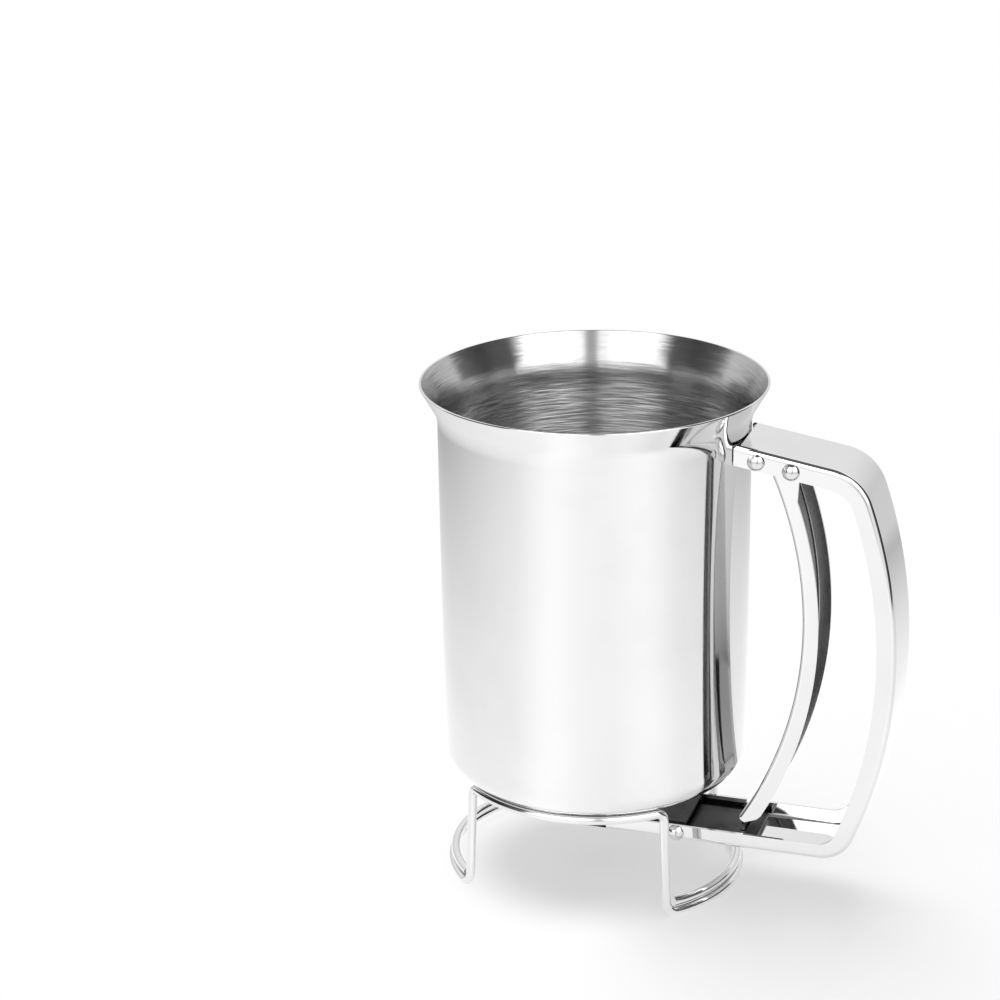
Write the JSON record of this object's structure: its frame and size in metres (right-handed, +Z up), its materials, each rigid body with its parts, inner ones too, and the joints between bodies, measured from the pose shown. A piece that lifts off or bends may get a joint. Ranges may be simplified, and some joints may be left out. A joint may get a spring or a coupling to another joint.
{
  "type": "batter dispenser with wire stand",
  "caption": "Open flared steel cup with a squeeze handle that pulls a slide valve from under its outlet, standing on a bent wire stand.",
  "frame": {"origin": "on the table under the middle of the object's outline, so the cup's upright axis stands 22.75 mm off to -X", "axes": "+Z up along the cup's axis, +X from the cup towards the handle's grip, +Y across the handle"},
  "size_m": [0.1569, 0.1114, 0.1696],
  "materials": {
    "polished_steel": "stainless steel, mirror polished",
    "satin_steel": "stainless steel, satin",
    "dark_steel": "stainless steel, blackened, satin",
    "spring_steel": "stainless spring wire, drawn"
  },
  "bodies": {
    "stand": {"stand_front_wire": "polished_steel", "stand_rear_wire": "polished_steel"},
    "dispenser": {"cup_body": "polished_steel", "outlet_nozzle": "satin_steel", "handle_channel": "polished_steel", "upper_bracket": "satin_steel", "base_bracket": "dark_steel", "upper_bracket_rivet": "polished_steel", "lever_pivot_pin": "polished_steel", "base_rivet_left": "polished_steel", "base_rivet_right": "polished_steel", "return_spring": "spring_steel"},
    "lever": {"squeeze_lever": "polished_steel"},
    "valve": {"slide_valve": "dark_steel"}
  },
  "joints": [
    {"name": "lift_off_stand", "type": "slide", "parent": "stand", "child": "dispenser", "axis": [0, 0, 1], "range_m": [0, 0.06]},
    {"name": "squeeze", "type": "hinge", "parent": "dispenser", "child": "lever", "pos_m": [0.04385, 0, 0.1487], "axis": [0, -1, 0], "range_deg": [0, 9], "stiffness_Nm_per_rad": 1.1, "springref_deg": -16.04, "deforming": ["return_spring"]},
    {"name": "valve_travel", "type": "slide", "parent": "dispenser", "child": "valve", "axis": [1, 0, 0], "range_m": [0, 0.0205]}
  ],
  "couplings": [
    {"joint": "valve_travel", "follows": "squeeze", "m_per_rad": 0.1294}
  ]
}
